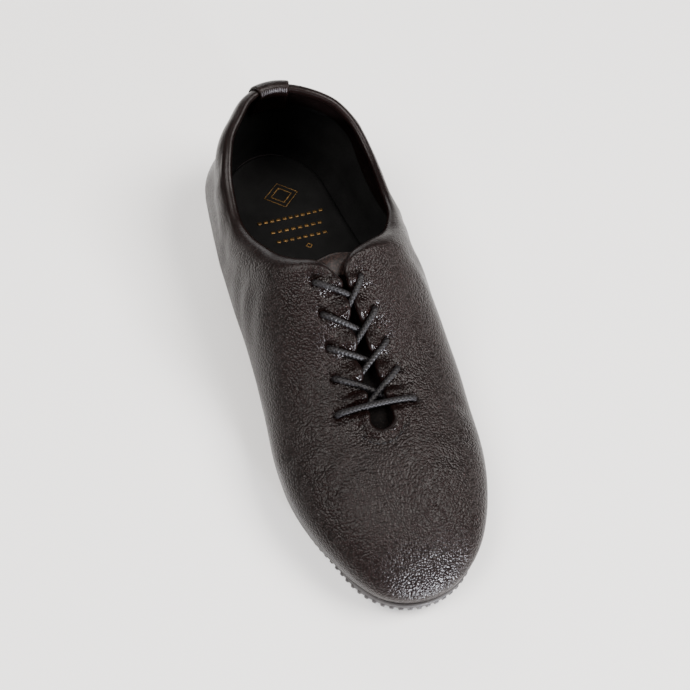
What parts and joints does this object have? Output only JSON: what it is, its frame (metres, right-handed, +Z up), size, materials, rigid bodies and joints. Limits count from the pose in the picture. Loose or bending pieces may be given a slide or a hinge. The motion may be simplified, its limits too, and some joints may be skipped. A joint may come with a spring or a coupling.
{
  "type": "jazz shoe",
  "caption": "Low lace-up jazz dance shoe in soft grained leather with a folded collar roll, a slit throat, a lace and a split rubber sole; left foot, empty.",
  "frame": {"origin": "centre of the bottom of the shoe's box, on the floor under the tread", "axes": "+X to the outer side of the foot, +Y to the heel (the toe points along -Y), +Z up"},
  "size_m": [0.0922, 0.2432, 0.0719],
  "materials": {
    "leather": "soft pebbled full-grain leather, semi-matt",
    "rubber": "moulded matt rubber",
    "lining": "black brushed sock lining",
    "lace": "round braided cord"
  },
  "bodies": {
    "root": {"upper": "leather", "tongue": "leather", "pull_tab": "leather", "outsole_forefoot": "rubber", "outsole_heel": "rubber", "insole": "lining", "lace_cross_1": "lace", "lace_cross_2": "lace", "lace_cross_3": "lace", "lace_cross_4": "lace", "lace_bar": "lace"}
  },
  "joints": []
}
